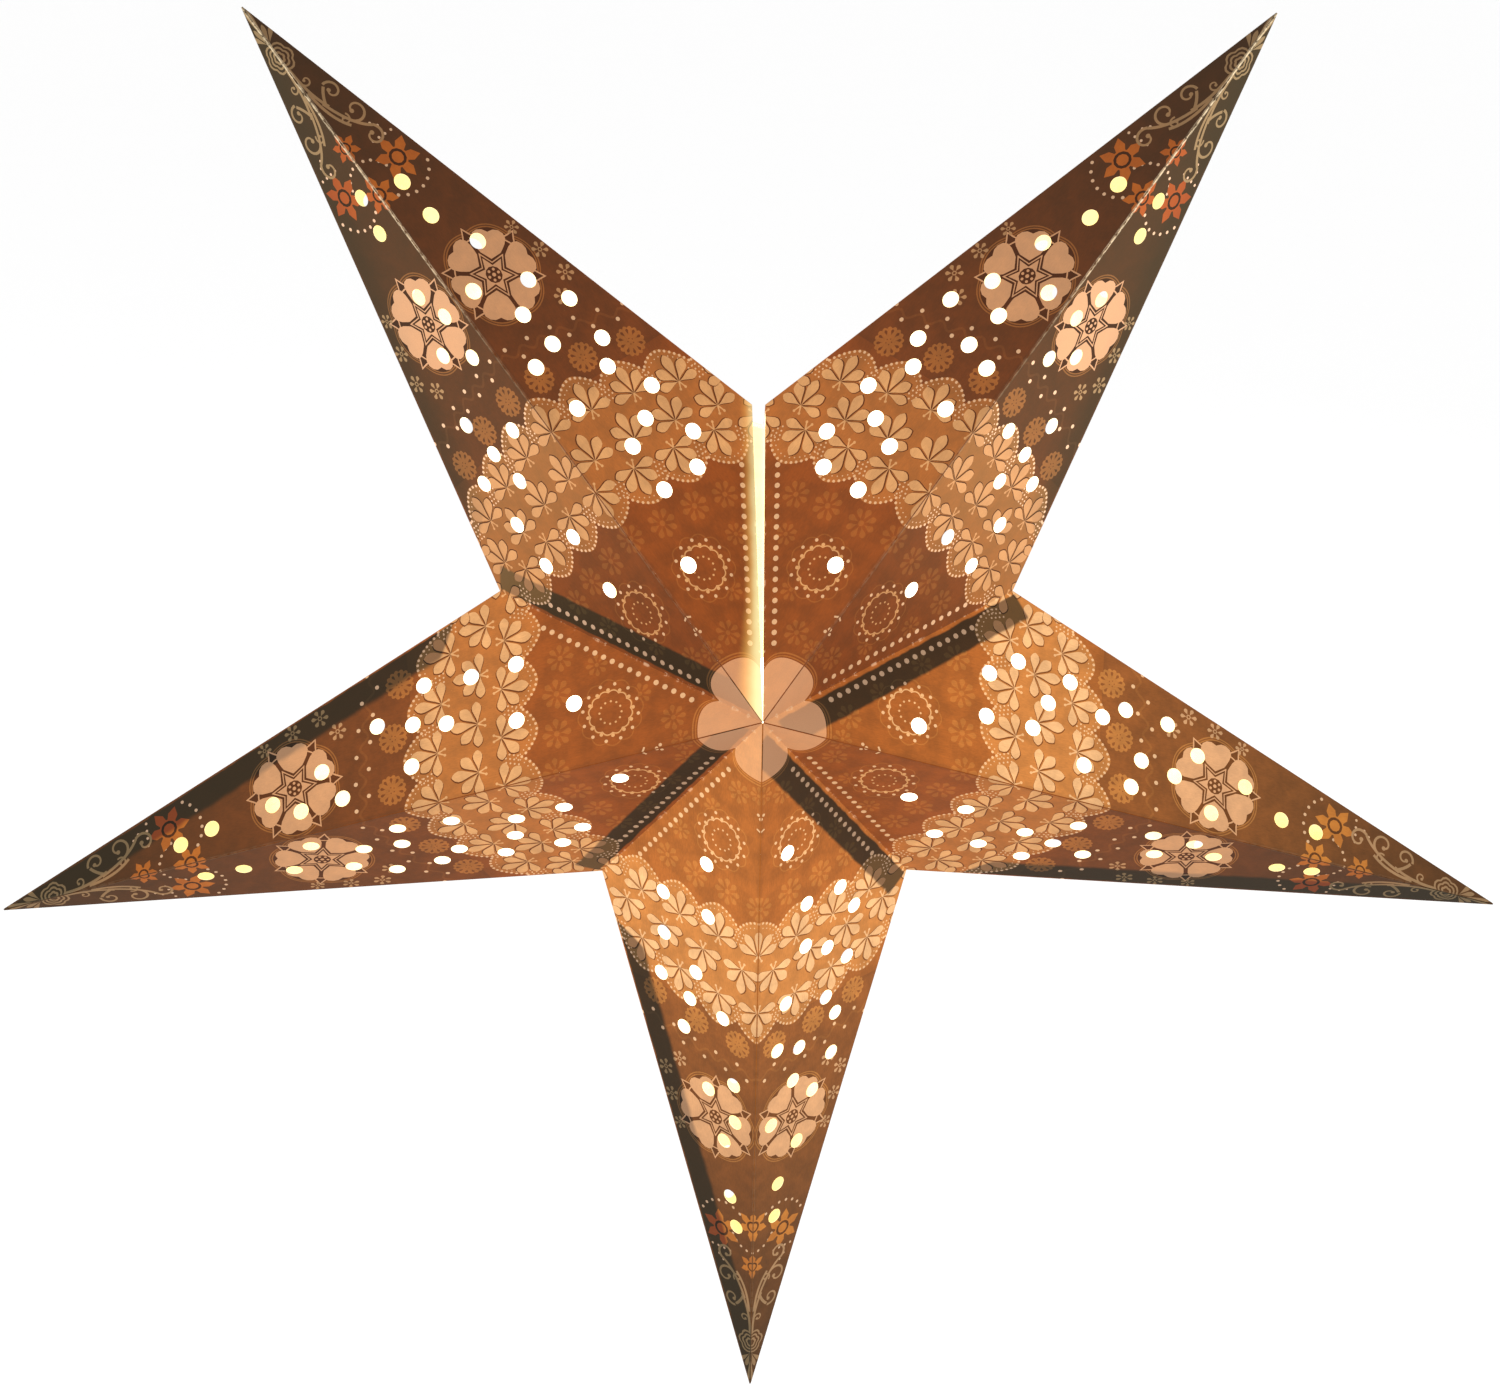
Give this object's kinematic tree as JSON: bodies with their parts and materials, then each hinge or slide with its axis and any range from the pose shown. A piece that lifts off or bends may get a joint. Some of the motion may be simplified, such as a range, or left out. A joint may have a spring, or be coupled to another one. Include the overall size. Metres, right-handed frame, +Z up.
{
  "type": "paper star lantern",
  "caption": "Five-point folded card star lantern with punched light holes and a small lampholder inside; it folds flat around its hub line like a fan.",
  "frame": {"origin": "centre of the mouth of the lampholder's cord grip, where the lantern hangs; the star's centre is 74 mm below it", "axes": "+Z up along the lampholder, the star's printed front faces -Y, X across the star"},
  "size_m": [0.5984, 0.1448, 0.5673],
  "materials": {
    "printed_card": "matt print",
    "plain_card": "matt, unprinted",
    "black_plastic": "satin",
    "brass": "plain",
    "bulb_glass": "frosted",
    "wire": "drawn wire"
  },
  "bodies": {
    "lamp": {"bulb_base": "brass", "bulb_contact": "brass", "bulb_glass": "bulb_glass", "cord_grip": "black_plastic", "front_closing_tab": "plain_card", "hanger_wire": "wire", "lampholder_cap": "black_plastic", "lampholder_sleeve": "black_plastic", "socket_liner": "brass"},
    "upper_left_front_first": {"upper_left_front_first_panel": "printed_card"},
    "upper_left_front_second": {"upper_left_front_seam_tab": "plain_card", "upper_left_front_second_panel": "printed_card", "upper_left_side_flap": "plain_card"},
    "lower_left_front_first": {"lower_left_front_first_panel": "printed_card", "lower_left_side_flap": "plain_card"},
    "lower_left_front_second": {"lower_left_front_seam_tab": "plain_card", "lower_left_front_second_panel": "printed_card"},
    "bottom_front_first": {"bottom_front_first_panel": "printed_card", "bottom_side_flap": "plain_card"},
    "bottom_front_second": {"bottom_front_seam_tab": "plain_card", "bottom_front_second_panel": "printed_card"},
    "lower_right_front_first": {"lower_right_front_first_panel": "printed_card", "lower_right_side_flap": "plain_card"},
    "lower_right_front_second": {"lower_right_front_seam_tab": "plain_card", "lower_right_front_second_panel": "printed_card"},
    "upper_right_front_first": {"upper_right_front_first_panel": "printed_card", "upper_right_side_flap": "plain_card"},
    "upper_right_front_second": {"upper_right_front_second_panel": "printed_card"},
    "upper_left_back_first": {"back_closing_tab": "plain_card", "upper_left_back_first_panel": "printed_card"},
    "upper_left_back_second": {"upper_left_back_seam_tab": "plain_card", "upper_left_back_second_panel": "printed_card"},
    "lower_left_back_first": {"lower_left_back_first_panel": "printed_card"},
    "lower_left_back_second": {"lower_left_back_seam_tab": "plain_card", "lower_left_back_second_panel": "printed_card"},
    "bottom_back_first": {"bottom_back_first_panel": "printed_card"},
    "bottom_back_second": {"bottom_back_seam_tab": "plain_card", "bottom_back_second_panel": "printed_card"},
    "lower_right_back_first": {"lower_right_back_first_panel": "printed_card"},
    "lower_right_back_second": {"lower_right_back_seam_tab": "plain_card", "lower_right_back_second_panel": "printed_card"},
    "upper_right_back_first": {"upper_right_back_first_panel": "printed_card"},
    "upper_right_back_second": {"upper_right_back_second_panel": "printed_card"}
  },
  "joints": [
    {"name": "fold", "type": "hinge", "parent": "lamp", "child": "upper_left_front_first", "pos_m": [-0.00001, -0.07262, -0.07378], "axis": [-0.0197, 0.5708, 0.8208], "range_deg": [0, 63.82]},
    {"name": "upper_left_front_ridge", "type": "hinge", "parent": "upper_left_front_first", "child": "upper_left_front_second", "pos_m": [0, -0.0723, -0.074], "axis": [0.588, -0.2234, -0.7774], "range_deg": [-0.05, 95.17]},
    {"name": "upper_left_seam", "type": "hinge", "parent": "upper_left_front_second", "child": "lower_left_front_first", "pos_m": [-0.00021, -0.07262, -0.07393], "axis": [-0.7845, 0.5708, 0.2424], "range_deg": [-0.05, 127.69]},
    {"name": "lower_left_front_ridge", "type": "hinge", "parent": "lower_left_front_first", "child": "lower_left_front_second", "pos_m": [0, -0.0723, -0.074], "axis": [0.9241, -0.2234, 0.3101], "range_deg": [-0.05, 95.17]},
    {"name": "lower_left_seam", "type": "hinge", "parent": "lower_left_front_second", "child": "bottom_front_first", "pos_m": [-0.00013, -0.07262, -0.07418], "axis": [-0.4794, 0.5708, -0.6666], "range_deg": [-0.05, 127.69]},
    {"name": "bottom_front_ridge", "type": "hinge", "parent": "bottom_front_first", "child": "bottom_front_second", "pos_m": [0, -0.0723, -0.074], "axis": [0, -0.2234, 0.9747], "range_deg": [-0.05, 95.17]},
    {"name": "bottom_seam", "type": "hinge", "parent": "bottom_front_second", "child": "lower_right_front_first", "pos_m": [0.00013, -0.07262, -0.07418], "axis": [0.4794, 0.5708, -0.6666], "range_deg": [-0.05, 127.69]},
    {"name": "lower_right_front_ridge", "type": "hinge", "parent": "lower_right_front_first", "child": "lower_right_front_second", "pos_m": [0, -0.0723, -0.074], "axis": [-0.9241, -0.2234, 0.3101], "range_deg": [-0.05, 95.17]},
    {"name": "lower_right_seam", "type": "hinge", "parent": "lower_right_front_second", "child": "upper_right_front_first", "pos_m": [0.00021, -0.07262, -0.07393], "axis": [0.7845, 0.5708, 0.2424], "range_deg": [-0.05, 127.69]},
    {"name": "upper_right_front_ridge", "type": "hinge", "parent": "upper_right_front_first", "child": "upper_right_front_second", "pos_m": [0, -0.0723, -0.074], "axis": [-0.588, -0.2234, -0.7774], "range_deg": [-0.05, 95.17]},
    {"name": "upper_left_first_side", "type": "hinge", "parent": "upper_left_front_first", "child": "upper_left_back_first", "pos_m": [-0.19028, 0, 0.17758], "axis": [0.7862, 0, -0.618], "range_deg": [-0.05, 94.96]},
    {"name": "upper_left_second_side", "type": "hinge", "parent": "upper_left_front_second", "child": "upper_left_back_second", "pos_m": [-0.19028, 0, 0.17758], "axis": [-0.3806, 0, 0.9247], "range_deg": [-0.05, 94.96]},
    {"name": "lower_left_first_side", "type": "hinge", "parent": "lower_left_front_first", "child": "lower_left_back_first", "pos_m": [-0.29905, 0, -0.17436], "axis": [0.836, 0, 0.5487], "range_deg": [-0.05, 94.96]},
    {"name": "lower_left_second_side", "type": "hinge", "parent": "lower_left_front_second", "child": "lower_left_back_second", "pos_m": [-0.29905, 0, -0.17436], "axis": [-0.9978, 0, -0.0667], "range_deg": [-0.05, 94.96]},
    {"name": "bottom_first_side", "type": "hinge", "parent": "bottom_front_first", "child": "bottom_back_first", "pos_m": [0, 0, -0.38944], "axis": [-0.2542, 0, 0.9671], "range_deg": [-0.05, 94.96]},
    {"name": "bottom_second_side", "type": "hinge", "parent": "bottom_front_second", "child": "bottom_back_second", "pos_m": [0, 0, -0.38944], "axis": [-0.2542, 0, -0.9671], "range_deg": [-0.05, 94.96]},
    {"name": "lower_right_first_side", "type": "hinge", "parent": "lower_right_front_first", "child": "lower_right_back_first", "pos_m": [0.29905, 0, -0.17436], "axis": [-0.9978, 0, 0.0667], "range_deg": [-0.05, 94.96]},
    {"name": "lower_right_second_side", "type": "hinge", "parent": "lower_right_front_second", "child": "lower_right_back_second", "pos_m": [0.29905, 0, -0.17436], "axis": [0.836, 0, -0.5487], "range_deg": [-0.05, 94.96]},
    {"name": "upper_right_first_side", "type": "hinge", "parent": "upper_right_front_first", "child": "upper_right_back_first", "pos_m": [0.19028, 0, 0.17758], "axis": [-0.3806, 0, -0.9247], "range_deg": [-0.05, 94.96]},
    {"name": "upper_right_second_side", "type": "hinge", "parent": "upper_right_front_second", "child": "upper_right_back_second", "pos_m": [0.19028, 0, 0.17758], "axis": [0.7862, 0, 0.618], "range_deg": [-0.05, 94.96]}
  ],
  "couplings": [
    {"joint": "upper_left_front_ridge", "follows": "fold", "ratio": 1.4905},
    {"joint": "upper_left_seam", "follows": "fold", "ratio": 2},
    {"joint": "lower_left_front_ridge", "follows": "fold", "ratio": 1.4905},
    {"joint": "lower_left_seam", "follows": "fold", "ratio": 2},
    {"joint": "bottom_front_ridge", "follows": "fold", "ratio": 1.4905},
    {"joint": "bottom_seam", "follows": "fold", "ratio": 2},
    {"joint": "lower_right_front_ridge", "follows": "fold", "ratio": 1.4905},
    {"joint": "lower_right_seam", "follows": "fold", "ratio": 2},
    {"joint": "upper_right_front_ridge", "follows": "fold", "ratio": 1.4905},
    {"joint": "upper_left_first_side", "follows": "fold", "ratio": 1.4871},
    {"joint": "upper_left_second_side", "follows": "fold", "ratio": 1.4871},
    {"joint": "lower_left_first_side", "follows": "fold", "ratio": 1.4871},
    {"joint": "lower_left_second_side", "follows": "fold", "ratio": 1.4871},
    {"joint": "bottom_first_side", "follows": "fold", "ratio": 1.4871},
    {"joint": "bottom_second_side", "follows": "fold", "ratio": 1.4871},
    {"joint": "lower_right_first_side", "follows": "fold", "ratio": 1.4871},
    {"joint": "lower_right_second_side", "follows": "fold", "ratio": 1.4871},
    {"joint": "upper_right_first_side", "follows": "fold", "ratio": 1.4871},
    {"joint": "upper_right_second_side", "follows": "fold", "ratio": 1.4871}
  ]
}
